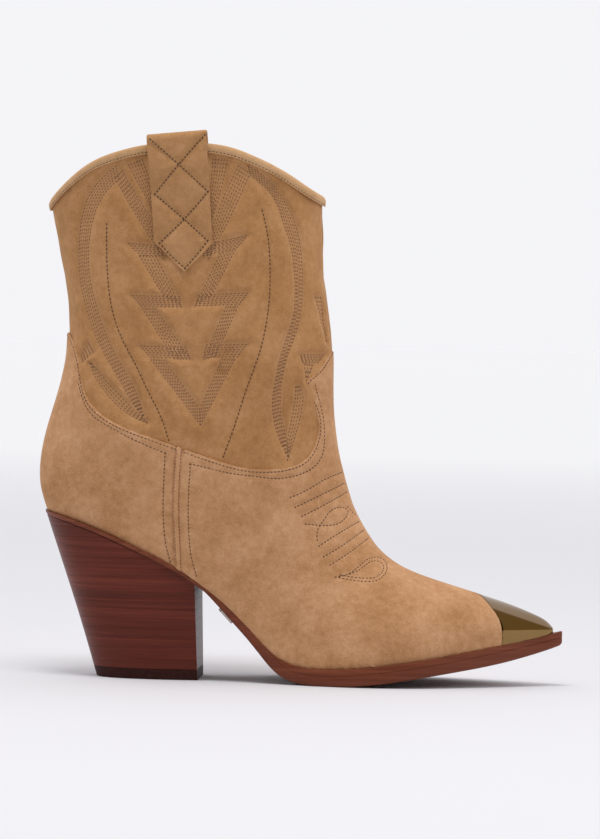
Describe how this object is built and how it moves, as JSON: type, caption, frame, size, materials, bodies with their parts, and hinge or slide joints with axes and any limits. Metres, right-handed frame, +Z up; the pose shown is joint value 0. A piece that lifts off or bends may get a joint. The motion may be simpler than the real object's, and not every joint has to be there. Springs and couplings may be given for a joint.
{
  "type": "cowboy boot",
  "caption": "Pull-on ankle boot for the right foot, pointed metal-capped toe, slanted stacked heel, curved top line with looped pull straps and stitched shaft.",
  "frame": {"origin": "middle of the heel's face on the floor", "axes": "+X towards the toe, +Y towards the inner side of the foot, +Z up"},
  "size_m": [0.2711, 0.0867, 0.2803],
  "materials": {
    "stacked_leather": "dark red-brown stacked leather, polished",
    "top_lift_rubber": "dark brown rubber top piece, satin",
    "sole_leather": "brown sole leather, burnished edge",
    "welt_leather": "brown leather rand, burnished edge",
    "insole_board": "pressed insole board",
    "cork": "cork forefoot filler",
    "steel": "plain steel",
    "brass_pins": "brass pins",
    "dark_metal": "dark stud",
    "plaque_metal": "blank metal plaque, satin",
    "suede": "tan suede with a short mottled nap",
    "suede_binding": "tan suede strip, folded",
    "suede_strap": "tan suede band, stitched",
    "gold_metal": "polished antique gold metal",
    "stiffener": "moulded fibre stiffener",
    "interlining": "woven interlining",
    "lining_leather": "smooth tan lining leather"
  },
  "bodies": {
    "root": {"counter_cover": "suede", "foot_lining": "lining_leather", "forefoot_filler": "cork", "heel_counter": "stiffener", "heel_lift_01": "stacked_leather", "heel_lift_02": "stacked_leather", "heel_lift_03": "stacked_leather", "heel_lift_04": "stacked_leather", "heel_lift_05": "stacked_leather", "heel_lift_06": "stacked_leather", "heel_lift_07": "stacked_leather", "heel_lift_08": "stacked_leather", "heel_lift_09": "stacked_leather", "heel_lift_10": "stacked_leather", "heel_lift_11": "stacked_leather", "heel_lift_12": "stacked_leather", "heel_lift_13": "stacked_leather", "heel_lift_14": "stacked_leather", "heel_lift_15": "stacked_leather", "heel_nails": "steel", "heel_pad": "lining_leather", "heel_screw": "steel", "insole_board": "insole_board", "outsole": "sole_leather", "plaque_studs": "dark_metal", "pull_strap_lateral": "suede_strap", "pull_strap_medial": "suede_strap", "shaft_lateral": "suede", "shaft_lining": "lining_leather", "shaft_medial": "suede", "shank": "steel", "shank_rivets": "steel", "side_welt_lateral": "suede", "side_welt_medial": "suede", "sock_lining": "lining_leather", "toe_cap": "gold_metal", "toe_puff": "stiffener", "top_binding": "suede_binding", "top_lift": "top_lift_rubber", "top_lift_nails": "brass_pins", "vamp": "suede", "vamp_interlining": "interlining", "waist_plaque": "plaque_metal", "welt": "welt_leather"}
  },
  "joints": []
}
